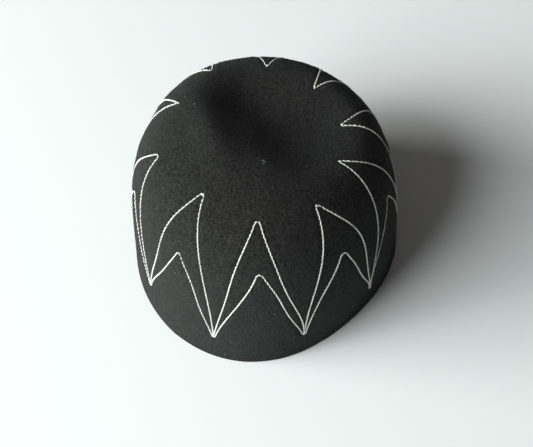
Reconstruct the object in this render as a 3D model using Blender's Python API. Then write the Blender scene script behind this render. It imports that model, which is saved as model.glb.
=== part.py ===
"""A blocked felt cap of black wool: a deep round crown with straight sides, a soft top and no brim.

Metres, +Z up. The front faces -Y and the wearer's left side is at +X, as seen from the front.
The cap stands on its cut rim, which lies in the plane z = 0, with the middle of its box over the origin.
"""
import math

import bmesh
import bpy
from mathutils import Vector

# Driving sizes
WIDTH = 0.182            # the wall's outside width just above the rim
DEPTH = 0.1966           # the same, front to back
HEIGHT = 0.1197          # the blocked crown before its top sinks
FELT = 0.0025            # thickness of the felt
RIM_ROUNDING = 0.0005    # how far the cut edge's corners are worn round
FLARE = 0.0006           # how far the rim spreads outward
FLARE_HEIGHT = 0.045     # the height at which the spread begins
TAPER = 0.0915           # the share of its width that the wall loses up to the top
SHOULDER = 4.5           # power of the crown's section: 2 is a dome, and more is squarer
PLAN = 2.045             # power of the plan: 2 is an oval, and more is squarer
LEAN_X = -0.0265         # sideways lean of the soft wall, as a share of its height
LEAN_Y = -0.004          # the same, front to back
MIDDLE_X = -0.0006       # from the oval's centre to the middle of the cap's box
MIDDLE_Y = 0.0015

# Hollows and ridges of the crown. Places, reaches and depths are shares of half the width, and a
# ridge's depth is below zero
CROWN_COLUMNS = ("name", "across", "back", "reach_across", "reach_back", "turn_deg", "depth", "power")
CROWN_HOLLOWS = (
    ("main dish", 0.237, 0.137, 0.40, 0.51, 34, 0.148, 2.5),
    ("back left hollow", -0.17, 0.395, 0.243, 0.25, -27, 0.086, 2.0),
    ("long ridge left of the dish", -0.115, -0.04, 0.215, 0.566, 19.5, -0.022, 2.0),
    ("swell at the right of the crown", 0.757, 0.217, 0.24, 0.327, -32, -0.024, 2.0),
    ("ridge above the left shoulder", -0.367, -0.042, 0.126, 0.306, 20, -0.037, 2.0),
)
SINK_LOW = 0.55          # these fade out between these shares of the height
SINK_HIGH = 0.90

# Flats and swells of the wall. turn_deg runs from the front towards +X, heights are shares of the
# whole height, and a depth is a share of half the width, a swell's being below zero
WALL_COLUMNS = ("name", "turn_deg", "height", "reach_deg", "reach_height", "depth")
WALL_DENTS = (
    ("flat at the front right of the rim", 38.6, -0.10, 39.9, 0.367, 0.130),
    ("swell low in the front", -8, 0.34, 18, 0.20, -0.007),
    ("hollow above the rim at the back", 165, 0.42, 30, 0.25, 0.012),
    ("pressed back left shoulder", -116, 0.80, 12.8, 0.20, 0.005),
)

# How finely the shell is divided
COLUMNS = 84
OUTER_ROWS = 22
INNER_ROWS = 18
SECTION_STEPS = 400

FELT_COLOUR = (0.020, 0.019, 0.019, 1.0)
FELT_ROUGHNESS = 0.95

HALF = WIDTH / 2


def smooth(value):
    """An even step from 0 to 1."""
    value = min(max(value, 0.0), 1.0)
    return value * value * (3 - 2 * value)


def spread(distance, reach, power=2.0):
    """A soft bump: 1 at its centre, fading with the distance from it."""
    return math.exp(-abs(distance / reach) ** power)


def section_radius(share):
    """The crown's radius at a share of its height, as a share of the radius at the rim."""
    return (1 - TAPER * share) * max(1 - share**SHOULDER, 0.0) ** (1 / SHOULDER)


def section_heights(rows):
    """Shares of the height that divide the section from the rim to the crown's centre evenly."""
    points = []
    for step in range(SECTION_STEPS + 1):
        share = 1 - (1 - step / SECTION_STEPS) ** 3
        points.append((section_radius(share) * HALF, share * HEIGHT))
    lengths = [0.0]
    for low, high in zip(points, points[1:]):
        lengths.append(lengths[-1] + math.dist(low, high))
    shares = []
    step = 0
    for row in range(rows):
        wanted = lengths[-1] * row / rows
        while lengths[step + 1] < wanted:
            step += 1
        part = (wanted - lengths[step]) / (lengths[step + 1] - lengths[step])
        z = points[step][1] + part * (points[step + 1][1] - points[step][1])
        shares.append(z / HEIGHT)
    return shares


def sink(x, y, share):
    """How far the crown's hollows lower a point of the top."""
    depth = 0.0
    for row in CROWN_HOLLOWS:
        hollow = dict(zip(CROWN_COLUMNS, row))
        turn = math.radians(hollow["turn_deg"])
        dx = x - hollow["across"] * HALF
        dy = y - hollow["back"] * HALF
        along = (dx * math.cos(turn) + dy * math.sin(turn)) / (hollow["reach_across"] * HALF)
        beside = (dy * math.cos(turn) - dx * math.sin(turn)) / (hollow["reach_back"] * HALF)
        depth += hollow["depth"] * HALF * spread(math.hypot(along, beside), 1.0, hollow["power"])
    return depth * smooth((share - SINK_LOW) / (SINK_HIGH - SINK_LOW))


def outer_point(turn, share):
    """A point of the felt's outer side. turn is in radians from the front towards +X."""
    side = math.sin(turn)
    front = math.cos(turn)
    oval = (abs(side) ** PLAN + abs(front) ** PLAN) ** (-1 / PLAN)
    z = share * HEIGHT
    radius = section_radius(share) + FLARE / HALF * max(1 - z / FLARE_HEIGHT, 0.0) ** 2
    x = HALF * radius * oval * side + LEAN_X * z
    y = -DEPTH / 2 * radius * oval * front + LEAN_Y * z
    lowered = z - sink(x, y, share)
    heading = math.atan2(x, -y)
    for row in WALL_DENTS:
        dent = dict(zip(WALL_COLUMNS, row))
        centre = math.radians(dent["turn_deg"])
        away = math.remainder(heading - centre, 2 * math.pi)
        depth = dent["depth"] * HALF * spread(away, math.radians(dent["reach_deg"]))
        depth *= spread(share - dent["height"], dent["reach_height"])
        x -= depth * math.sin(centre)
        y += depth * math.cos(centre)
    return Vector((x - MIDDLE_X, y - MIDDLE_Y, lowered))


def inner_point(turn, share):
    """The point of the felt's inner side that lies under an outer point."""
    here = outer_point(turn, share)
    step = 0.002
    around = outer_point(turn + step, share) - outer_point(turn - step, share)
    upward = outer_point(turn, min(share + step, 0.9999)) - outer_point(turn, max(share - step, 0.0))
    return here - around.cross(upward).normalized() * FELT


def crown_centre():
    """The outer side's point at the middle of the crown."""
    x = LEAN_X * HEIGHT
    y = LEAN_Y * HEIGHT
    return Vector((x - MIDDLE_X, y - MIDDLE_Y, HEIGHT - sink(x, y, 1.0)))


def rim_ring(inward, z):
    """A ring of the cut edge, this far inward from the outer side."""
    ring = []
    for column in range(COLUMNS):
        turn = 2 * math.pi * column / COLUMNS
        outside = outer_point(turn, 0.0)
        inside = inner_point(turn, 0.0)
        across = Vector((inside.x - outside.x, inside.y - outside.y, 0)).normalized()
        ring.append(Vector((outside.x, outside.y, 0)) + across * inward + Vector((0, 0, z)))
    return ring


def rings():
    """The felt's rings in order: from the crown down its inner side, and up its outer side again."""
    turns = [2 * math.pi * column / COLUMNS for column in range(COLUMNS)]
    inner = [rim_ring(FELT - RIM_ROUNDING, 0.0), rim_ring(FELT, RIM_ROUNDING)]
    for share in section_heights(INNER_ROWS)[1:]:
        inner.append([inner_point(turn, share) for turn in turns])
    outer = [rim_ring(RIM_ROUNDING, 0.0), rim_ring(0.0, RIM_ROUNDING)]
    for share in section_heights(OUTER_ROWS)[1:]:
        outer.append([outer_point(turn, share) for turn in turns])
    return inner[::-1] + outer


def close_over(mesh, loop, centre):
    """Closes a ring over the middle of the crown with a fan of triangles."""
    middle = mesh.verts.new(centre)
    for column in range(COLUMNS):
        mesh.faces.new((loop[column], loop[(column + 1) % COLUMNS], middle))


def felt_material():
    """Black wool felt."""
    material = bpy.data.materials.new("black_wool_felt")
    material.use_nodes = True
    shader = material.node_tree.nodes["Principled BSDF"]
    shader.inputs["Base Color"].default_value = FELT_COLOUR
    shader.inputs["Roughness"].default_value = FELT_ROUGHNESS
    shader.inputs["Metallic"].default_value = 0.0
    material.diffuse_color = FELT_COLOUR
    return material


def felt_cap():
    """The whole cap: one felt shell, hollow and open below."""
    mesh = bmesh.new()
    loops = []
    for ring in rings():
        loops.append([mesh.verts.new(point) for point in ring])
    for low, high in zip(loops, loops[1:]):
        for column in range(COLUMNS):
            beyond = (column + 1) % COLUMNS
            mesh.faces.new((low[column], low[beyond], high[beyond], high[column]))
    close_over(mesh, loops[0], crown_centre() - Vector((0, 0, FELT)))
    close_over(mesh, loops[-1], crown_centre())
    bmesh.ops.recalc_face_normals(mesh, faces=mesh.faces)
    data = bpy.data.meshes.new("felt_cap")
    mesh.to_mesh(data)
    mesh.free()
    data.shade_smooth()
    data.set_sharp_from_angle(angle=math.radians(50))
    data.materials.append(felt_material())
    cap = bpy.data.objects.new("felt_cap", data)
    bpy.context.scene.collection.objects.link(cap)
    return cap


for old in list(bpy.data.objects):
    bpy.data.objects.remove(old, do_unlink=True)

felt_cap()
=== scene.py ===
"""An embroidered cap of black wool felt on a pale floor. Metres, +Z up, the front towards -Y."""
import math

import bpy
import numpy as np
from mathutils import Matrix, Vector, kdtree, noise


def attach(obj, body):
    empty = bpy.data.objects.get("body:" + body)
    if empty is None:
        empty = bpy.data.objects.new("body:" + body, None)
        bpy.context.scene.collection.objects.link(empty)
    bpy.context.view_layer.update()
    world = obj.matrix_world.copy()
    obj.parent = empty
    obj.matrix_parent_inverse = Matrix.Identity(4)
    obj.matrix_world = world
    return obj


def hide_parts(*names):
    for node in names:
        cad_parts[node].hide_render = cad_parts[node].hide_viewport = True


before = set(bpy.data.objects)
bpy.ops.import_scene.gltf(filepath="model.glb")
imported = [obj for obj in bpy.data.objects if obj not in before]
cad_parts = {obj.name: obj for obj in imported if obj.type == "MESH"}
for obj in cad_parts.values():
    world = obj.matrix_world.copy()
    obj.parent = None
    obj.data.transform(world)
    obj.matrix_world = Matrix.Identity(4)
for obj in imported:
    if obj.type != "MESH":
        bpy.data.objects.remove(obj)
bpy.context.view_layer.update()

# The felt shell: the whole cap is one piece of milled black wool, pulled wet over a block and dried,
# so it has no seam. Its wall is 2.5 mm thick, and its rim is cut square and left raw.
WIDTH = 0.182            # the wall's outside width just above the rim
DEPTH = 0.1966           # the same, front to back
HEIGHT = 0.1197          # the blocked crown before its top sinks
FELT = 0.0025            # thickness of the felt
RIM_ROUNDING = 0.0006    # how far the cut edge's corners are worn round
FLARE = 0.0006           # how far the rim spreads outward
FLARE_HEIGHT = 0.045     # the height at which the spread begins
TAPER = 0.0915           # the share of its width that the wall loses up to the top
SHOULDER = 4.5           # power of the crown's section: 2 is a dome, and more is squarer
PLAN = 2.045             # power of the plan: 2 is an oval, and more is squarer
LEAN_X = -0.0265         # sideways lean of the soft wall, as a share of its height
LEAN_Y = -0.004          # the same, front to back
MIDDLE_X = -0.0006       # from the oval's centre to the middle of the cap's box
MIDDLE_Y = 0.0015
HALF = WIDTH / 2

# The crown's soft hollows and ridges. Places, reaches and depths are shares of half the width, and a
# ridge's depth is below zero
HOLLOW_COLUMNS = ("name", "across", "back", "reach_across", "reach_back", "turn_deg", "depth", "power")
HOLLOWS = (
    ("main dish", 0.237, 0.137, 0.40, 0.51, 34, 0.148, 2.5),
    ("back left hollow", -0.17, 0.395, 0.243, 0.25, -27, 0.086, 2.0),
    ("long ridge left of the dish", -0.115, -0.04, 0.215, 0.566, 19.5, -0.022, 2.0),
    ("swell at the right of the crown", 0.757, 0.217, 0.24, 0.327, -32, -0.024, 2.0),
    ("ridge above the left shoulder", -0.367, -0.042, 0.126, 0.306, 20, -0.037, 2.0),
)
SINK_LOW = 0.55          # they fade out between these shares of the height
SINK_HIGH = 0.90

# Flats and swells of the wall, by their turn from the front and their share of the height. A swell's
# depth is below zero
DENT_COLUMNS = ("name", "turn_deg", "height", "reach_deg", "reach_height", "depth")
DENTS = (
    ("flat at the front right of the rim", 38.6, -0.10, 39.9, 0.367, 0.130),
    ("swell low in the front", -8, 0.34, 18, 0.20, -0.007),
    ("hollow above the rim at the back", 165, 0.42, 30, 0.25, 0.012),
    ("pressed back left shoulder", -116, 0.80, 12.8, 0.20, 0.005),
)

# How finely the shell is divided
FELT_COLUMNS = 480
OUTER_ROWS = 150
INNER_ROWS = 30
LOWEST_ROW = 0.35        # the lowest row's height above the rim, as a share of a whole row
SECTION_STEPS = 4000
FACING_STEP = 0.004      # directions are taken between points this far to each side, in turn and way
FACING_TOP = 0.995       # and no nearer the crown's centre than this way


def section_radius(share):
    """The crown's radius at a share of its height."""
    return (1 - TAPER * share) * np.clip(1 - share**SHOULDER, 0, 1) ** (1 / SHOULDER)


def block_point(turn, share):
    """Points of the felt's outer side. turn is from the front towards +X."""
    side = np.sin(turn)
    front = np.cos(turn)
    oval = (np.abs(side) ** PLAN + np.abs(front) ** PLAN) ** (-1 / PLAN)
    z = share * HEIGHT
    radius = section_radius(share) + FLARE / HALF * np.clip(1 - z / FLARE_HEIGHT, 0, 1) ** 2
    x = HALF * radius * oval * side + LEAN_X * z
    y = -DEPTH / 2 * radius * oval * front + LEAN_Y * z
    fade = np.clip((share - SINK_LOW) / (SINK_HIGH - SINK_LOW), 0, 1)
    fade = fade * fade * (3 - 2 * fade)
    lowered = z
    for row in HOLLOWS:
        hollow = dict(zip(HOLLOW_COLUMNS, row))
        angle = math.radians(hollow["turn_deg"])
        dx = x - hollow["across"] * HALF
        dy = y - hollow["back"] * HALF
        along = (dx * math.cos(angle) + dy * math.sin(angle)) / (hollow["reach_across"] * HALF)
        beside = (dy * math.cos(angle) - dx * math.sin(angle)) / (hollow["reach_back"] * HALF)
        spread = np.exp(-np.hypot(along, beside) ** hollow["power"])
        lowered = lowered - hollow["depth"] * HALF * spread * fade
    heading = np.arctan2(x, -y)
    for row in DENTS:
        dent = dict(zip(DENT_COLUMNS, row))
        centre = math.radians(dent["turn_deg"])
        away = (heading - centre + math.pi) % (2 * math.pi) - math.pi
        depth = dent["depth"] * HALF * np.exp(-((away / math.radians(dent["reach_deg"])) ** 2))
        depth = depth * np.exp(-(((share - dent["height"]) / dent["reach_height"]) ** 2))
        x = x - depth * math.sin(centre)
        y = y + depth * math.cos(centre)
    return np.stack([x - MIDDLE_X, y - MIDDLE_Y, lowered], -1)


# Shares of the height against shares of the way up the section, from the rim to the crown's centre
section_share = 1 - (1 - np.linspace(0, 1, SECTION_STEPS + 1)) ** 3
section_line = np.stack([section_radius(section_share) * HALF, section_share * HEIGHT], -1)
section_steps = np.linalg.norm(np.diff(section_line, axis=0), axis=1)
section_way = np.concatenate([[0], np.cumsum(section_steps)])
section_way = section_way / section_way[-1]


def felt_point(turn, way):
    """Points of the outer side at a turn and a share of the way from the rim to the crown's centre."""
    return block_point(turn, np.interp(way, section_way, section_share))


def felt_facing(turn, way):
    """The outward direction of the outer side."""
    around = felt_point(turn + FACING_STEP, way) - felt_point(turn - FACING_STEP, way)
    upper = felt_point(turn, np.minimum(way + FACING_STEP, FACING_TOP))
    lower = felt_point(turn, np.maximum(way - FACING_STEP, 0))
    facing = np.cross(around, upper - lower)
    return facing / np.linalg.norm(facing, axis=-1, keepdims=True)


# The zigzag embroidered round the cap: ten tall flames, each with a short one inside it, and between
# them the points where four lines of stitches meet. The felt's surface follows it too, because the
# stitches pull a channel into the wool.

# Turns are in degrees and ways are shares of the section's length. A row's valley is the one that
# follows its flame, and a blunt tip ends flat, by that share of its half width
FLAME_COLUMNS = (
    "name", "tall_turn", "tall_way", "tall_blunt", "short_turn", "short_way", "short_blunt",
    "valley_turn", "valley_way",
)
FLAMES = (
    ("front", -2.3, 0.667, 0.060, -1.8, 0.494, 0.055, 16.4, 0.137),
    ("front right", 32.4, 0.677, 0.045, 36.0, 0.485, 0.075, 50.6, 0.148),
    ("right", 69.6, 0.728, 0.020, 71.5, 0.475, 0.040, 87.4, 0.146),
    ("right back", 101.9, 0.7205, 0.040, 103.5, 0.486, 0.050, 121.1, 0.118),
    ("back right", 138.9, 0.7135, 0.030, 138.0, 0.489, 0.050, 156.8, 0.130),
    ("back", 175.6, 0.685, 0.050, 174.6, 0.484, 0.060, 192.7, 0.132),
    ("back left", 210.8, 0.654, 0.050, 211.0, 0.469, 0.050, 228.6, 0.150),
    ("left back", 245.2, 0.686, 0.020, 246.0, 0.478, 0.050, 263.3, 0.157),
    ("left", 281.2, 0.644, 0.060, 281.9, 0.447, 0.030, 302.9, 0.148),
    ("front left", 321.8, 0.702, 0.060, 321.5, 0.484, 0.030, 338.0, 0.127),
)

# How each side of a flame bends between its valley and its tip: a bow, a sway and a ripple. There is
# a row for each flame, and the low side is the one with the smaller turn
BEND_COLUMNS = ("tall_low", "tall_high", "short_low", "short_high")
BENDS = (
    ((-0.17, 0.05, -0.02), (-0.14, 0.00, -0.03), (-0.07, -0.01, 0.00), (-0.08, 0.04, -0.02)),
    ((-0.17, -0.06, 0.00), (-0.34, 0.17, -0.03), (-0.23, 0.02, 0.00), (-0.05, 0.01, -0.03)),
    ((-0.19, -0.05, -0.04), (-0.25, 0.02, -0.04), (-0.38, 0.00, -0.01), (-0.08, 0.04, -0.01)),
    ((-0.10, 0.01, -0.03), (-0.19, 0.06, -0.06), (-0.10, 0.02, -0.01), (-0.09, 0.05, -0.02)),
    ((-0.12, 0.00, -0.02), (-0.17, 0.05, -0.05), (-0.05, 0.02, 0.01), (-0.10, 0.02, -0.01)),
    ((-0.17, 0.05, -0.03), (-0.19, 0.05, -0.04), (-0.08, 0.00, 0.00), (-0.06, 0.03, 0.01)),
    ((-0.17, 0.05, -0.03), (-0.16, 0.04, -0.04), (-0.04, 0.02, -0.01), (-0.09, 0.01, 0.00)),
    ((-0.15, 0.02, -0.02), (-0.12, 0.00, -0.01), (-0.10, 0.03, 0.00), (-0.05, 0.02, 0.00)),
    ((-0.21, 0.07, -0.03), (-0.15, -0.01, 0.01), (-0.11, 0.02, -0.01), (-0.15, 0.06, -0.01)),
    ((-0.15, 0.09, -0.04), (-0.28, 0.02, -0.01), (-0.02, -0.01, -0.01), (-0.12, 0.06, -0.02)),
)
TALL_VALLEY_RISE = 0.007          # the tall line turns this much higher than the short one
SHORT_VALLEY_BLUNTNESS = 0.035    # the short line's valleys end flat, by this share of their half width
TIP_POWER = 8                     # how suddenly a side flattens at its tip
VALLEY_POWER = 12                 # and at its valley
SIDE_POINTS = 121
LINE_STEP = 0.0002
CORNER_SOFTENING = 0.0012         # the corners are rounded over about this length

flames = [dict(zip(FLAME_COLUMNS, row)) for row in FLAMES]


def flame_line(line):
    """The turns and ways of one closed line of the zigzag. line is tall or short."""
    turns = []
    ways = []
    rise = np.linspace(0, 1, SIDE_POINTS)
    for number, flame in enumerate(flames):
        before = flames[number - 1]
        bends = dict(zip(BEND_COLUMNS, BENDS[number]))
        tip_turn = flame[line + "_turn"]
        tip_way = flame[line + "_way"]
        low_turn = before["valley_turn"] - (360 if number == 0 else 0)
        sides = (
            ("_low", low_turn, before["valley_way"], 1),
            ("_high", flame["valley_turn"], flame["valley_way"], -1),
        )
        for side, valley_turn, valley_way, order in sides:
            if line == "tall":
                valley_way = valley_way + TALL_VALLEY_RISE
            bow, sway, ripple = bends[line + side]
            across = rise + bow * np.sin(math.pi * rise) + sway * np.sin(2 * math.pi * rise)
            across = across + ripple * np.sin(3 * math.pi * rise)
            across = across * (1 - flame[line + "_blunt"] * rise**TIP_POWER)
            if line == "short":
                across = across + SHORT_VALLEY_BLUNTNESS * (1 - rise) ** VALLEY_POWER
            turns.append((valley_turn + (tip_turn - valley_turn) * across)[::order])
            ways.append((valley_way + (tip_way - valley_way) * rise)[::order])
    return np.radians(np.concatenate(turns)), np.concatenate(ways)


def softened(values, weights):
    """The values of a closed line, each averaged with its neighbours by these weights."""
    reach = len(weights) // 2
    return np.convolve(np.concatenate([values[-reach:], values, values[:reach]]), weights, "valid")


def even_line(line):
    """One line of the zigzag at even steps: its points on the felt and their outward directions."""
    turn, way = flame_line(line)
    points = felt_point(turn, way)
    turn = np.append(turn, turn[0] + 2 * math.pi)
    way = np.append(way, way[0])
    points = np.concatenate([points, points[:1]])
    length = np.concatenate([[0], np.cumsum(np.linalg.norm(np.diff(points, axis=0), axis=1))])
    count = int(length[-1] / LINE_STEP)
    even = np.linspace(0, length[-1], count, endpoint=False)
    reach = int(3 * CORNER_SOFTENING / LINE_STEP)
    weights = np.exp(-0.5 * (np.arange(-reach, reach + 1) * LINE_STEP / CORNER_SOFTENING) ** 2)
    weights = weights / weights.sum()
    climb = 2 * math.pi * np.arange(count) / count
    turn = softened(np.interp(even, length, turn) - climb, weights) + climb
    way = softened(np.interp(even, length, way), weights)
    return felt_point(turn, way), felt_facing(turn, way)


tall_points, tall_facing = even_line("tall")
short_points, short_facing = even_line("short")

# How the felt's surface differs from the block: soft lumps of the wool, each with its size and its
# height, and a channel that the stitches pull it into, with a low swell beside it
LUMPS = ((0.030, 0.00035), (0.011, 0.00022), (0.004, 0.00010))
CHANNEL_DEPTH = 0.00030
CHANNEL_REACH = 0.0014
SWELL_HEIGHT = 0.00016
SWELL_DISTANCE = 0.0036
SWELL_REACH = 0.0016

stitched = kdtree.KDTree(len(tall_points) + len(short_points))
for index, point in enumerate(np.concatenate([tall_points, short_points])):
    stitched.insert(point, index)
stitched.balance()


def felt_relief(points):
    """How far each point of the outer side stands proud of the block."""
    proud = np.zeros(len(points))
    for index, point in enumerate(points):
        place = Vector(point)
        for size, height in LUMPS:
            proud[index] += height * noise.noise(place / size)
        distance = stitched.find(place)[2]
        proud[index] -= CHANNEL_DEPTH * math.exp(-((distance / CHANNEL_REACH) ** 2))
        proud[index] += SWELL_HEIGHT * math.exp(-(((distance - SWELL_DISTANCE) / SWELL_REACH) ** 2))
    return proud


turns_round = 2 * math.pi * np.arange(FELT_COLUMNS) / FELT_COLUMNS


def felt_side(ways):
    """The places and outward directions of rows of points that go round the outer side."""
    turn, way = (grid.ravel() for grid in np.meshgrid(turns_round, ways))
    return felt_point(turn, way), felt_facing(turn, way)


# The cut rim's section: how far inward of the outer side and how high above the floor each row lies
RIM_SECTION = (
    (FELT, 0.0005),
    (FELT - 0.0002, 0.00015),
    (FELT - RIM_ROUNDING, 0.0),
    (FELT / 2, 0.0),
    (RIM_ROUNDING, 0.0),
    (0.0002, 0.00015),
    (0.0, 0.0005),
)


def rim_rows():
    """The rows of points of the cut rim, from its inner edge to its outer one."""
    outside = felt_point(turns_round, np.zeros(FELT_COLUMNS))
    inward = -felt_facing(turns_round, np.zeros(FELT_COLUMNS))
    inward[:, 2] = 0
    inward = inward / np.linalg.norm(inward, axis=1, keepdims=True)
    rows = []
    for distance, height in RIM_SECTION:
        row = outside + inward * distance
        row[:, 2] = height
        rows.append(row)
    return rows


def cap_piece(name, places, faces):
    """A piece of the cap as a smooth mesh, from its points and its faces."""
    mesh = bpy.data.meshes.new(name)
    mesh.from_pydata(places, [], faces)
    mesh.shade_smooth()
    piece = bpy.data.objects.new(name, mesh)
    bpy.context.scene.collection.objects.link(piece)
    return piece


def felt_shell():
    """The whole shell as one mesh, from the crown's inner middle down to the rim and up outside."""
    outer_ways = np.linspace(0, 1, OUTER_ROWS, endpoint=False)
    outer_ways[0] = LOWEST_ROW * outer_ways[1]
    outer, facing = felt_side(outer_ways)
    outer = outer + facing * felt_relief(outer)[:, None]
    inner_ways = np.linspace(0, 1, INNER_ROWS, endpoint=False)
    inner_ways[0] = outer_ways[0]
    inner, facing = felt_side(inner_ways)
    inner = inner - facing * FELT
    middle = felt_point(np.array([0.0]), np.array([1.0]))
    rows = list(inner.reshape(INNER_ROWS, FELT_COLUMNS, 3)[::-1]) + rim_rows()
    rows += list(outer.reshape(OUTER_ROWS, FELT_COLUMNS, 3))
    places = np.concatenate([*rows, middle - (0, 0, FELT), middle])
    inner_middle = len(places) - 2
    outer_middle = len(places) - 1
    last = (len(rows) - 1) * FELT_COLUMNS
    faces = []
    for low in range(0, last, FELT_COLUMNS):
        high = low + FELT_COLUMNS
        for column in range(FELT_COLUMNS):
            beyond = (column + 1) % FELT_COLUMNS
            faces.append((low + column, low + beyond, high + beyond, high + column))
    for column in range(FELT_COLUMNS):
        beyond = (column + 1) % FELT_COLUMNS
        faces.append((beyond, column, inner_middle))
        faces.append((last + column, last + beyond, outer_middle))
    return cap_piece("felt_shell", places.tolist(), faces)


felt = felt_shell()
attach(felt, "root")
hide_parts("felt_cap")

# The finish of milled wool: a mat of fine curled fibres, nearly black, with paler fibres and dust
# caught in it
FELT_DARK = (0.0052, 0.0053, 0.0050, 1.0)
FELT_PALE = (0.0352, 0.0355, 0.0338, 1.0)
FELT_SHEEN = 0.055
FELT_GRAIN = 0.85        # how much of the tone comes from the fibres
FELT_CLOUDS = 0.10       # and how much from wide cloudy patches
FIBRE_TONES = (0.387, 0.633)    # the narrow band of the noise that is spread over all tones
CURL_FINENESS = 3.1      # how much finer the curled fibres are than the mat
CURL_HEIGHT = 0.35       # and how high they stand, as a share of it


def fibre_group():
    """A shader node group: the mat of wool fibres, as a tone from 0 to 1 and a height for bump."""
    group = bpy.data.node_groups.new("wool_fibres", "ShaderNodeTree")
    group.interface.new_socket("Size", in_out="INPUT", socket_type="NodeSocketFloat")
    group.interface.new_socket("Tone", in_out="OUTPUT", socket_type="NodeSocketFloat")
    group.interface.new_socket("Height", in_out="OUTPUT", socket_type="NodeSocketFloat")
    nodes = group.nodes
    links = group.links
    start = nodes.new("NodeGroupInput")
    end = nodes.new("NodeGroupOutput")
    place = nodes.new("ShaderNodeTexCoord")
    mat = nodes.new("ShaderNodeTexNoise")
    mat.inputs["Detail"].default_value = 2.0
    mat.inputs["Roughness"].default_value = 0.5
    mat.inputs["Distortion"].default_value = 1.0
    fine = nodes.new("ShaderNodeMath")
    fine.operation = "MULTIPLY"
    fine.inputs[1].default_value = CURL_FINENESS
    curl = nodes.new("ShaderNodeTexNoise")
    curl.noise_type = "RIDGED_MULTIFRACTAL"
    curl.inputs["Detail"].default_value = 3.0
    curl.inputs["Distortion"].default_value = 2.2
    links.new(start.outputs["Size"], mat.inputs["Scale"])
    links.new(start.outputs["Size"], fine.inputs[0])
    links.new(fine.outputs[0], curl.inputs["Scale"])
    links.new(place.outputs["Object"], mat.inputs["Vector"])
    links.new(place.outputs["Object"], curl.inputs["Vector"])
    tone = nodes.new("ShaderNodeMapRange")
    tone.inputs["From Min"].default_value = FIBRE_TONES[0]
    tone.inputs["From Max"].default_value = FIBRE_TONES[1]
    links.new(mat.outputs["Fac"], tone.inputs["Value"])
    both = nodes.new("ShaderNodeMath")
    both.operation = "MULTIPLY_ADD"
    both.inputs[1].default_value = CURL_HEIGHT
    links.new(curl.outputs["Fac"], both.inputs[0])
    links.new(mat.outputs["Fac"], both.inputs[2])
    links.new(tone.outputs["Result"], end.inputs["Tone"])
    links.new(both.outputs[0], end.inputs["Height"])
    return group


wool_fibres = fibre_group()


def wool_finish(name, roughness, specular):
    """A new wool material, with its nodes, its links and its shader."""
    material = bpy.data.materials.new(name)
    material.use_nodes = True
    nodes = material.node_tree.nodes
    shader = nodes["Principled BSDF"]
    shader.inputs["Roughness"].default_value = roughness
    shader.inputs["Specular IOR Level"].default_value = specular
    return material, nodes, material.node_tree.links, shader


def felt_finish():
    """The black felt."""
    material, nodes, links, shader = wool_finish("black_wool_felt", 0.95, 0.15)
    shader.inputs["Sheen Weight"].default_value = FELT_SHEEN
    shader.inputs["Sheen Roughness"].default_value = 0.45
    shader.inputs["Sheen Tint"].default_value = (0.58, 0.65, 0.65, 1.0)
    fibres = nodes.new("ShaderNodeGroup")
    fibres.node_tree = wool_fibres
    fibres.inputs["Size"].default_value = 900.0
    place = nodes.new("ShaderNodeTexCoord")
    clouds = nodes.new("ShaderNodeTexNoise")
    clouds.inputs["Scale"].default_value = 45.0
    clouds.inputs["Detail"].default_value = 4.0
    links.new(place.outputs["Object"], clouds.inputs["Vector"])
    faint = nodes.new("ShaderNodeMath")
    faint.operation = "MULTIPLY"
    faint.inputs[1].default_value = FELT_CLOUDS
    links.new(clouds.outputs["Fac"], faint.inputs[0])
    tone = nodes.new("ShaderNodeMath")
    tone.operation = "MULTIPLY_ADD"
    tone.inputs[1].default_value = FELT_GRAIN
    links.new(fibres.outputs["Tone"], tone.inputs[0])
    links.new(faint.outputs[0], tone.inputs[2])
    colour = nodes.new("ShaderNodeMix")
    colour.data_type = "RGBA"
    colour.inputs["A"].default_value = FELT_DARK
    colour.inputs["B"].default_value = FELT_PALE
    links.new(tone.outputs[0], colour.inputs["Factor"])
    links.new(colour.outputs["Result"], shader.inputs["Base Color"])
    bump = nodes.new("ShaderNodeBump")
    bump.inputs["Strength"].default_value = 0.8
    bump.inputs["Distance"].default_value = 0.0015
    links.new(fibres.outputs["Height"], bump.inputs["Height"])
    links.new(bump.outputs["Normal"], shader.inputs["Normal"])
    return material


felt.data.materials.append(felt_finish())

# The nap: loose ends of the black wool, one or two millimetres long, which lie low on the felt, curl
# and catch the light. The stitches press it flat, so there is none right beside them.
NAP_PIECES = 2
NAP_COUNT = 19500
NAP_WAYS = (0.012, 0.997)         # from just above the rim to just short of the crown's centre
NAP_LENGTHS = (0.0009, 0.0024)
NAP_LIFTS = (math.radians(3), math.radians(26))
NAP_RADIUS = 0.000032
NAP_SUNK = 0.0001
STITCH_CLEARANCE = 0.0008
FIBRE_CURL = 1.1                  # how far a fibre's outer half may turn aside, in radians
FIBRE_DROOP = 0.2                 # how steeply that half rises, as a share of the inner half's rise
FIBRE_KNEE = 0.85                 # the thickness at the bend, as a share of that at the root
FIBRE_THICKNESSES = (0.7, 1.3)    # and that of single fibres, as a share of their radius
FIBRE_SIDES = 3


def scattered(count, chance):
    """Random turns and ways, spread evenly over the felt's outer side."""
    turn = chance.uniform(0, 2 * math.pi, 3 * count)
    way = chance.uniform(*NAP_WAYS, 3 * count)
    kept = chance.uniform(0, 1, 3 * count) < section_radius(np.interp(way, section_way, section_share))
    return turn[kept][:count], way[kept][:count]


def point_values(piece, name, values):
    """Keeps a number at each point of a piece, for its finish to read."""
    kept = piece.data.attributes.new(name, "FLOAT", "POINT")
    kept.data.foreach_set("value", values)


def repeated(pattern, points, count):
    """The faces of many like things, each of which has this many points and this pattern of faces."""
    faces = []
    for number in range(count):
        faces += [tuple(corner + points * number for corner in face) for face in pattern]
    return faces


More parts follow.
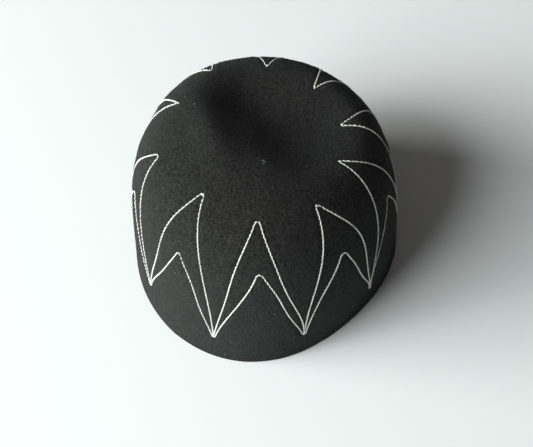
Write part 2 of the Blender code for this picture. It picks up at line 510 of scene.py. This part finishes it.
def lay_fibres(name, roots, facing, lengths, lifts, radius, chance):
    """A field of fine pointed fibres, each bent once, as one mesh of closed spikes."""
    count = len(roots)
    aside = np.cross(facing, chance.normal(size=(count, 3)))
    aside = aside / np.linalg.norm(aside, axis=1, keepdims=True)
    ahead = np.cross(facing, aside)
    curl = chance.uniform(-FIBRE_CURL, FIBRE_CURL, count)[:, None]
    lengths = lengths[:, None]
    lifts = lifts[:, None]
    knees = roots + (ahead * np.cos(lifts) + facing * np.sin(lifts)) * lengths * 0.5
    bent = ahead * np.cos(curl) + aside * np.sin(curl)
    tips = knees + (bent * np.cos(lifts) + facing * np.sin(lifts) * FIBRE_DROOP) * lengths * 0.5
    around = (2 * math.pi * np.arange(FIBRE_SIDES) / FIBRE_SIDES)[None, :, None]
    ring = aside[:, None] * np.cos(around) + facing[:, None] * np.sin(around)
    thick = (radius * chance.uniform(*FIBRE_THICKNESSES, count))[:, None, None]
    root_ring = roots[:, None] + ring * thick
    knee_ring = knees[:, None] + ring * thick * FIBRE_KNEE
    corners = np.concatenate([root_ring, knee_ring, tips[:, None]], 1)
    pattern = [tuple(range(FIBRE_SIDES))]
    tip = 2 * FIBRE_SIDES
    for side in range(FIBRE_SIDES):
        beyond = (side + 1) % FIBRE_SIDES
        pattern.append((beyond, side, FIBRE_SIDES + side, FIBRE_SIDES + beyond))
        pattern.append((FIBRE_SIDES + beyond, FIBRE_SIDES + side, tip))
    piece = cap_piece(name, corners.reshape(-1, 3).tolist(), repeated(pattern, tip + 1, count))
    point_values(piece, "fibre_tone", np.repeat(chance.uniform(0, 1, count), tip + 1))
    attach(piece, "root")
    return piece


def fibre_finish(name, roughness, specular, colours):
    """Loose fibres of different colours. colours pairs each share of their tone with its colour."""
    material, nodes, links, shader = wool_finish(name, roughness, specular)
    tone = nodes.new("ShaderNodeAttribute")
    tone.attribute_name = "fibre_tone"
    ramp = nodes.new("ShaderNodeValToRGB")
    ramp.color_ramp.elements[0].color = colours[0][1]
    ramp.color_ramp.elements[1].color = colours[-1][1]
    for share, colour in colours[1:-1]:
        ramp.color_ramp.elements.new(share).color = colour
    links.new(tone.outputs["Fac"], ramp.inputs["Fac"])
    links.new(ramp.outputs["Color"], shader.inputs["Base Color"])
    return material


# Most fibres of the black wool are nearly black, and a few are bleached grey
NAP_COLOURS = (
    (0.0, (0.0060, 0.0060, 0.0056, 1.0)),
    (0.8, (0.0260, 0.0265, 0.0250, 1.0)),
    (1.0, (0.110, 0.112, 0.104, 1.0)),
)
nap_wool = fibre_finish("black_wool_nap", 0.7, 0.2, NAP_COLOURS)
for number in range(NAP_PIECES):
    nap_chance = np.random.default_rng(31 + number)
    turn, way = scattered(NAP_COUNT, nap_chance)
    places = felt_point(turn, way)
    facing = felt_facing(turn, way)
    clear = np.array([stitched.find(Vector(place))[2] > STITCH_CLEARANCE for place in places])
    roots = places + facing * (felt_relief(places) - NAP_SUNK)[:, None]
    lengths = nap_chance.uniform(*NAP_LENGTHS, NAP_COUNT)[clear]
    lifts = nap_chance.uniform(*NAP_LIFTS, NAP_COUNT)[clear]
    name = f"felt_nap_{number + 1}"
    nap = lay_fibres(name, roots[clear], facing[clear], lengths, lifts, NAP_RADIUS, nap_chance)
    nap.data.materials.append(nap_wool)

# The embroidery: cream two-ply wool worked through the felt in stem stitch. Each stitch lies a little
# across the line, and its end lies beside the start of the next, so that the line looks like a cord.
STITCH_STEP = 0.00275
STITCH_LENGTH = 0.0036
STITCH_SLANT = 0.00030
STITCH_RISE = 0.00004                 # a stitch's middle stands this high above the felt
STITCH_DIVE = -0.00110                # and its ends go down to this depth
STITCH_ARCH = 0.6                     # power of the arch between them: less is flatter
STITCH_WANDER = 0.07                  # how unevenly the stitches are spaced, in parts of a step
STITCH_LENGTHS = (0.93, 1.07)         # how much single stitches differ
STITCH_SLANTS = (0.75, 1.25)
STITCH_LIFTS = (-0.00006, 0.00008)
STITCH_THICKNESSES = (0.92, 1.08)
STITCH_SIDES = 10
STITCH_RINGS = 11
STRAND_RADIUS = 0.00048
STRAND_FLATNESS = 0.90
STRAND_SHOULDER = 0.45                # the thickness next to a strand's ends
STRAND_END = 0.25                     # and at them
STRAND_POINT = 0.00012
PLY_GROOVE = 0.15
PLY_TURNS = 0.8
THREAD_WARM = (0.78, 0.775, 0.71, 1.0)
THREAD_PALE = (0.87, 0.875, 0.825, 1.0)
# Painted shade: the yarn is coloured a darker brown down in the grooves between its two plies
GROOVE_PAINTED_SHADE = (0.52, 0.47, 0.38, 1.0)
GROOVE_HEIGHTS = (0.66, 0.90)         # this painted shade fades out between these heights of the ply
GROOVE_PALENESS = 0.68                # and leaves this share of the thread's own colour at its bottom


def lay_strands(name, centres, facing, radii, chance):
    """Stitches as one mesh: each a plump two-ply strand along its own row of centres."""
    count = len(centres)
    share = np.linspace(0, 1, STITCH_RINGS)
    plump = STRAND_SHOULDER + (1 - STRAND_SHOULDER) * np.sin(math.pi * share) ** 0.5
    plump[0] = plump[-1] = STRAND_END
    run = np.gradient(centres, axis=1)
    run = run / np.linalg.norm(run, axis=-1, keepdims=True)
    left = np.cross(facing, run)
    left = left / np.linalg.norm(left, axis=-1, keepdims=True)
    over = np.cross(run, left)
    around = 2 * math.pi * np.arange(STITCH_SIDES) / STITCH_SIDES
    twist = chance.uniform(0, 2 * math.pi, count)[:, None] + 2 * math.pi * PLY_TURNS * share[None, :]
    lobes = 1 - PLY_GROOVE + PLY_GROOVE * np.cos(2 * (around[None, None, :] - twist[:, :, None]))
    reach = radii[:, None, None] * plump[None, :, None] * lobes
    skin = centres[:, :, None, :] + left[:, :, None, :] * (reach * np.cos(around))[..., None]
    skin = skin + over[:, :, None, :] * (reach * STRAND_FLATNESS * np.sin(around))[..., None]
    first_point = centres[:, 0] - run[:, 0] * STRAND_POINT
    last_point = centres[:, -1] + run[:, -1] * STRAND_POINT
    ends = np.stack([first_point, last_point], 1)
    each = STITCH_RINGS * STITCH_SIDES + 2
    places = np.concatenate([skin.reshape(count, -1, 3), ends], 1).reshape(-1, 3)
    pattern = []
    last_ring = (STITCH_RINGS - 1) * STITCH_SIDES
    for side in range(STITCH_SIDES):
        beyond = (side + 1) % STITCH_SIDES
        pattern.append((beyond, side, each - 2))
        pattern.append((last_ring + side, last_ring + beyond, each - 1))
        for low in range(0, last_ring, STITCH_SIDES):
            high = low + STITCH_SIDES
            pattern.append((low + side, low + beyond, high + beyond, high + side))
    piece = cap_piece(name, places.tolist(), repeated(pattern, each, count))
    point_values(piece, "stitch_tone", np.repeat(chance.uniform(0, 1, count), each))
    # The height of the ply at each point, by which the finish paints shade into the grooves
    groove = np.concatenate([lobes.reshape(count, -1), np.ones((count, 2))], 1)
    point_values(piece, "ply_height", groove.ravel())
    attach(piece, "root")
    return piece


def stitch_arch(share):
    """The shape of a stitch from the side: 0 at its ends and 1 in its middle."""
    return np.sin(math.pi * share) ** STITCH_ARCH


def stitch_line(name, points, facing, seed):
    """A whole line of stitches, laid along an even line on the felt."""
    chance = np.random.default_rng(seed)
    ahead = np.roll(points, -1, axis=0) - np.roll(points, 1, axis=0)
    ahead = ahead / np.linalg.norm(ahead, axis=1, keepdims=True)
    aside = np.cross(facing, ahead)
    length = len(points) * LINE_STEP
    count = int(round(length / STITCH_STEP))
    starts = (np.arange(count) + chance.uniform(-STITCH_WANDER, STITCH_WANDER, count)) * length / count
    lengths = STITCH_LENGTH * chance.uniform(*STITCH_LENGTHS, count)
    slants = STITCH_SLANT * chance.uniform(*STITCH_SLANTS, count)
    lifts = chance.uniform(*STITCH_LIFTS, count)
    radii = STRAND_RADIUS * chance.uniform(*STITCH_THICKNESSES, count)
    share = np.linspace(0, 1, STITCH_RINGS)
    along = starts[:, None] + (share[None, :] - 0.5) * lengths[:, None]
    index = np.round(along / LINE_STEP).astype(int) % len(points)
    beside = slants[:, None] * (1 - 2 * share[None, :])
    height = STITCH_DIVE + (STITCH_RISE - STITCH_DIVE) * stitch_arch(share)[None, :] + lifts[:, None]
    centres = points[index] + aside[index] * beside[..., None] + facing[index] * height[..., None]
    return lay_strands(name, centres, facing[index], radii, chance)


def thread_finish():
    """Cream wool yarn, with shade painted in brown down in the grooves between its plies."""
    material, nodes, links, shader = wool_finish("cream_wool_thread", 0.85, 0.25)
    shader.inputs["Sheen Weight"].default_value = 0.35
    shader.inputs["Sheen Roughness"].default_value = 0.5
    shader.inputs["Sheen Tint"].default_value = (1.0, 0.97, 0.9, 1.0)
    fibres = nodes.new("ShaderNodeGroup")
    fibres.node_tree = wool_fibres
    fibres.inputs["Size"].default_value = 2600.0
    tone = nodes.new("ShaderNodeAttribute")
    tone.attribute_name = "stitch_tone"
    groove = nodes.new("ShaderNodeAttribute")
    groove.attribute_name = "ply_height"
    warm = nodes.new("ShaderNodeMix")
    warm.data_type = "RGBA"
    warm.inputs["A"].default_value = THREAD_WARM
    warm.inputs["B"].default_value = THREAD_PALE
    links.new(tone.outputs["Fac"], warm.inputs["Factor"])
    # Painted shade: where the ply is low, in the groove between the plies, the colour is mixed towards a
    # darker brown
    shade = nodes.new("ShaderNodeMapRange")
    shade.inputs["From Min"].default_value = GROOVE_HEIGHTS[0]
    shade.inputs["From Max"].default_value = GROOVE_HEIGHTS[1]
    shade.inputs["To Min"].default_value = GROOVE_PALENESS
    shade.inputs["To Max"].default_value = 1.0
    links.new(groove.outputs["Fac"], shade.inputs["Value"])
    dim = nodes.new("ShaderNodeMix")
    dim.data_type = "RGBA"
    dim.inputs["A"].default_value = GROOVE_PAINTED_SHADE
    links.new(shade.outputs["Result"], dim.inputs["Factor"])
    links.new(warm.outputs["Result"], dim.inputs["B"])
    speck = nodes.new("ShaderNodeMix")
    speck.data_type = "RGBA"
    speck.blend_type = "MULTIPLY"
    speck.inputs["Factor"].default_value = 0.35
    links.new(dim.outputs["Result"], speck.inputs["A"])
    links.new(fibres.outputs["Tone"], speck.inputs["B"])
    links.new(speck.outputs["Result"], shader.inputs["Base Color"])
    bump = nodes.new("ShaderNodeBump")
    bump.inputs["Strength"].default_value = 0.5
    bump.inputs["Distance"].default_value = 0.00015
    links.new(fibres.outputs["Height"], bump.inputs["Height"])
    links.new(bump.outputs["Normal"], shader.inputs["Normal"])
    return material


cream_thread = thread_finish()
for name, points, facing, seed in (
    ("tall_flame_stitches", tall_points, tall_facing, 11),
    ("short_flame_stitches", short_points, short_facing, 23),
):
    stitch_line(name, points, facing, seed).data.materials.append(cream_thread)

# The fastening stitches: where the four lines meet the yarn is tied down with two short stitches that
# cross, and at most tall tips one stitch runs a little past the corner.
KNOT_COLUMNS = ("lean_deg", "up", "beside", "length", "lift")
KNOT = (
    (-14, 0.0013, -0.0003, 0.0034, 0.00012),
    (12, 0.0016, 0.0003, 0.0038, 0.00018),
)
TIP_COLUMNS = ("flame", "lean_deg", "past_the_corner")
TIPS = (
    ("front right", -38, 0.0002),
    ("right", -12, 0.0003),
    ("right back", 24, 0.0002),
    ("back right", -30, 0.0007),
    ("back", 8, 0.0005),
    ("left back", 16, 0.0009),
    ("front left", 12, 0.0006),
)
TIP_STITCH_LENGTH = 0.0026
TIP_STITCH_LIFT = 0.00012
TIP_STITCH_BACK = 0.35            # the share of its length that lies back from where it ends
TIE_LEAN = 8                      # how much single fastening stitches differ, in degrees
TIE_LENGTHS = (0.85, 1.1)         # and in length and thickness
TIE_THICKNESSES = (0.85, 1.0)


def felt_spot(turn_deg, way):
    """One place on the outer side, and the directions out of, up and across the felt there."""
    turn = np.array([math.radians(turn_deg)])
    way = np.array([way])
    upward = felt_point(turn, way + FACING_STEP)[0] - felt_point(turn, way - FACING_STEP)[0]
    upward = upward / np.linalg.norm(upward)
    facing = felt_facing(turn, way)[0]
    return felt_point(turn, way)[0], facing, upward, np.cross(upward, facing)


def short_stitch(turn_deg, way, lean_deg, up, beside, length, lift):
    """The centres and outward directions of one loose stitch, by its lean from straight up the felt."""
    place, facing, upward, aside = felt_spot(turn_deg, way)
    lean = math.radians(lean_deg)
    ahead = upward * math.cos(lean) + aside * math.sin(lean)
    middle = place + upward * up + aside * beside
    share = np.linspace(0, 1, STITCH_RINGS)[:, None]
    height = STITCH_DIVE + (STITCH_RISE + lift - STITCH_DIVE) * stitch_arch(share)
    centres = middle + ahead * (share - 0.5) * length + facing * height
    return centres, np.broadcast_to(facing, (STITCH_RINGS, 3))


tie_chance = np.random.default_rng(41)
named_flames = {flame["name"]: flame for flame in flames}
ties = []
for flame in flames:
    for row in KNOT:
        knot = dict(zip(KNOT_COLUMNS, row))
        lean = knot["lean_deg"] + tie_chance.uniform(-TIE_LEAN, TIE_LEAN)
        length = knot["length"] * tie_chance.uniform(*TIE_LENGTHS)
        place = (flame["valley_turn"], flame["valley_way"])
        ties.append(short_stitch(*place, lean, knot["up"], knot["beside"], length, knot["lift"]))
for row in TIPS:
    tip = dict(zip(TIP_COLUMNS, row))
    flame = named_flames[tip["flame"]]
    up = tip["past_the_corner"] - TIP_STITCH_BACK * TIP_STITCH_LENGTH
    place = (flame["tall_turn"], flame["tall_way"])
    ties.append(short_stitch(*place, tip["lean_deg"], up, 0.0, TIP_STITCH_LENGTH, TIP_STITCH_LIFT))
tie_centres = np.stack([centres for centres, facing in ties])
tie_facing = np.stack([facing for centres, facing in ties])
tie_radii = STRAND_RADIUS * tie_chance.uniform(*TIE_THICKNESSES, len(ties))
fastenings = lay_strands("fastening_stitches", tie_centres, tie_facing, tie_radii, tie_chance)
fastenings.data.materials.append(cream_thread)

# Fuzz of the yarn: fine cream fibres, up to about a millimetre long, that have worked loose and stand
# out of the stitches on all sides.
FUZZ_COUNT = 6000
FUZZ_LENGTHS = (0.0004, 0.0011)
FUZZ_LIFTS = (math.radians(5), math.radians(50))
FUZZ_RADIUS = 0.000018
FUZZ_SPREAD = 0.00035
FUZZ_COLOURS = (
    (0.0, (0.42, 0.40, 0.34, 1.0)),
    (1.0, (0.80, 0.79, 0.72, 1.0)),
)

fuzz_chance = np.random.default_rng(47)
all_points = np.concatenate([tall_points, short_points])
all_facing = np.concatenate([tall_facing, short_facing])
picked = fuzz_chance.integers(0, len(all_points), FUZZ_COUNT)
roots = all_points[picked] + fuzz_chance.normal(0, FUZZ_SPREAD, (FUZZ_COUNT, 3))
lengths = fuzz_chance.uniform(*FUZZ_LENGTHS, FUZZ_COUNT)
lifts = fuzz_chance.uniform(*FUZZ_LIFTS, FUZZ_COUNT)
fuzz = lay_fibres("yarn_fuzz", roots, all_facing[picked], lengths, lifts, FUZZ_RADIUS, fuzz_chance)
fuzz.data.materials.append(fibre_finish("cream_wool_fuzz", 0.8, 0.5, FUZZ_COLOURS))

# Lint: tiny bits of pale fluff, and two of reddish brown, each a thin curled thread that clings to the
# black felt by itself.
LINT_COLUMNS = ("turn_deg", "way", "heading_deg", "length", "tone")
LINT = (
    (3.4, 0.874, 112, 0.0036, 0.95),
    (3.0, 0.863, 124, 0.0021, 0.80),
    (-56.7, 0.558, 60, 0.0016, 0.85),
    (3.6, 0.314, -30, 0.0014, 0.75),
    (-115.9, 0.751, 10, 0.0015, 1.00),
    (-39.2, 0.385, 45, 0.0015, 0.70),
    (9.0, 0.773, -50, 0.0014, 0.50),
    (-66.8, 0.668, 30, 0.0012, 0.60),
    (-20.6, 0.787, 80, 0.0018, 0.10),
    (-47.2, 0.405, -48, 0.0024, 0.00),
    (-120.4, 0.698, 35, 0.0013, 0.80),
    (50.1, 0.809, 15, 0.0012, 0.60),
    (-17.3, 0.031, 70, 0.0014, 0.75),
    (150.0, 0.55, 25, 0.0018, 0.60),
    (205.0, 0.30, -40, 0.0015, 0.55),
    (100.0, 0.35, 60, 0.0012, 0.50),
)
LINT_RADIUS = 0.00011
LINT_END = 0.35              # the thickness at a bit's ends, as a share of that in its middle
LINT_ARCH = 0.00012          # how far its middle rises off the felt
LINT_SWAYS = (0.1, 0.3)      # how far it curls to the side, as a share of its length
LINT_CURLS = 1.1             # and how many times
LINT_SIDES = 5
LINT_RINGS = 7
LINT_COLOURS = (
    (0.0, (0.11, 0.055, 0.045, 1.0)),
    (0.35, (0.10, 0.10, 0.09, 1.0)),
    (1.0, (0.34, 0.36, 0.34, 1.0)),
)


def lint_bits():
    """All the bits of fluff as one mesh."""
    chance = np.random.default_rng(53)
    places = []
    faces = []
    tones = []
    share = np.linspace(0, 1, LINT_RINGS)
    arch = np.sin(math.pi * share)
    for row in LINT:
        bit = dict(zip(LINT_COLUMNS, row))
        spot, facing, upward, aside = felt_spot(bit["turn_deg"], bit["way"])
        middle = spot + facing * (felt_relief([spot])[0] + LINT_RADIUS)
        heading = math.radians(bit["heading_deg"])
        ahead = upward * math.cos(heading) + aside * math.sin(heading)
        beside = np.cross(facing, ahead)
        sway = chance.uniform(*LINT_SWAYS) * bit["length"]
        start = len(places)
        for ring in range(LINT_RINGS):
            bend = math.sin(2 * math.pi * LINT_CURLS * share[ring] + bit["heading_deg"])
            centre = middle + ahead * (share[ring] - 0.5) * bit["length"] + beside * sway * bend
            centre = centre + facing * LINT_ARCH * arch[ring]
            thick = LINT_RADIUS * (LINT_END + (1 - LINT_END) * arch[ring])
            for side in range(LINT_SIDES):
                angle = 2 * math.pi * side / LINT_SIDES
                places.append(centre + beside * thick * math.cos(angle) + facing * thick * math.sin(angle))
                tones.append(bit["tone"])
        for side in range(LINT_SIDES):
            beyond = (side + 1) % LINT_SIDES
            for low in range(start, start + (LINT_RINGS - 1) * LINT_SIDES, LINT_SIDES):
                high = low + LINT_SIDES
                faces.append((low + beyond, low + side, high + side, high + beyond))
        faces.append(tuple(range(start, start + LINT_SIDES)))
        faces.append(tuple(range(len(places) - 1, len(places) - 1 - LINT_SIDES, -1)))
    piece = cap_piece("lint", [tuple(place) for place in places], faces)
    point_values(piece, "fibre_tone", tones)
    return piece


lint = lint_bits()
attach(lint, "root")
lint.data.materials.append(fibre_finish("lint_fluff", 0.9, 0.5, LINT_COLOURS))

# The view from above the cap's front: the camera looks down on the crown and the front of the wall,
# near enough that the crown looks larger than the rim.
PICTURE_WIDTH = 533
PICTURE_HEIGHT = 447
LOOK_AT = Vector((0.0006, -0.0015, 0.0479))
LOOK_AT_ACROSS = 266.9    # where in the picture the point looked at lies, in pixels
LOOK_AT_DOWN = 197.9
VIEW_ELEVATION = math.radians(53.5)
VIEW_ROLL = math.radians(0.79)
VIEW_DISTANCE = 0.6418
PIXELS_PER_METRE = 1508.2
SENSOR = 36.0

view_back = Vector((0, -math.cos(VIEW_ELEVATION), math.sin(VIEW_ELEVATION)))
view_up = Vector((0, math.sin(VIEW_ELEVATION), math.cos(VIEW_ELEVATION)))
view_right = Vector((1, 0, 0))
rolled_right = view_right * math.cos(VIEW_ROLL) - view_up * math.sin(VIEW_ROLL)
rolled_up = view_right * math.sin(VIEW_ROLL) + view_up * math.cos(VIEW_ROLL)
lens = bpy.data.cameras.new("view")
lens.sensor_width = SENSOR
lens.lens = PIXELS_PER_METRE * VIEW_DISTANCE * SENSOR / PICTURE_WIDTH
lens.shift_x = (PICTURE_WIDTH / 2 - LOOK_AT_ACROSS) / PICTURE_WIDTH
lens.shift_y = (LOOK_AT_DOWN - PICTURE_HEIGHT / 2) / PICTURE_WIDTH
camera = bpy.data.objects.new("view", lens)
bpy.context.scene.collection.objects.link(camera)
axes = Matrix((rolled_right, rolled_up, view_back)).transposed().to_4x4()
camera.matrix_world = Matrix.Translation(LOOK_AT + view_back * VIEW_DISTANCE) @ axes
bpy.context.scene.camera = camera

# The pale floor that the cap stands on, and soft studio light: a wide panel low on the left, a weaker
# one higher at the front left, and a little light from the room all round.
FLOOR_SIZE = 14.0
FLOOR_COLOUR = (0.87, 0.90, 0.91, 1.0)
corner = FLOOR_SIZE / 2
floor_corners = [(-corner, -corner, 0), (corner, -corner, 0), (corner, corner, 0), (-corner, corner, 0)]
floor_mesh = bpy.data.meshes.new("floor")
floor_mesh.from_pydata(floor_corners, [], [(0, 1, 2, 3)])
floor = bpy.data.objects.new("floor", floor_mesh)
bpy.context.scene.collection.objects.link(floor)
floor_finish = bpy.data.materials.new("pale_floor")
floor_finish.use_nodes = True
floor_shader = floor_finish.node_tree.nodes["Principled BSDF"]
floor_shader.inputs["Base Color"].default_value = FLOOR_COLOUR
floor_shader.inputs["Roughness"].default_value = 0.8
floor_mesh.materials.append(floor_finish)

LIGHT_COLUMNS = ("name", "turn_deg", "elevation_deg", "distance", "size", "watts", "colour")
LIGHTS = (
    ("left_panel", -84, 12, 3.25, 2.25, 226.0, (0.97, 0.98, 0.955)),
    ("front_left_panel", -57, 32, 3.25, 2.25, 112.0, (0.93, 0.99, 0.97)),
)
ROOM_COLOUR = (1.0, 0.95, 0.90, 1.0)
ROOM_STRENGTH = 0.08
for row in LIGHTS:
    light = dict(zip(LIGHT_COLUMNS, row))
    lamp = bpy.data.lights.new(light["name"], "AREA")
    lamp.shape = "DISK"
    lamp.size = light["size"]
    lamp.energy = light["watts"]
    lamp.color = light["colour"]
    panel = bpy.data.objects.new(light["name"], lamp)
    bpy.context.scene.collection.objects.link(panel)
    turn = math.radians(light["turn_deg"])
    rise = math.radians(light["elevation_deg"])
    level = math.cos(rise)
    away = Vector((math.sin(turn) * level, -math.cos(turn) * level, math.sin(rise)))
    panel.location = LOOK_AT + away * light["distance"]
    panel.rotation_euler = away.to_track_quat("Z", "Y").to_euler()

room = bpy.data.worlds.new("pale_room")
room.use_nodes = True
room_light = room.node_tree.nodes["Background"]
room_light.inputs["Color"].default_value = ROOM_COLOUR
room_light.inputs["Strength"].default_value = ROOM_STRENGTH
bpy.context.scene.world = room
bpy.context.scene.view_settings.view_transform = "Standard"
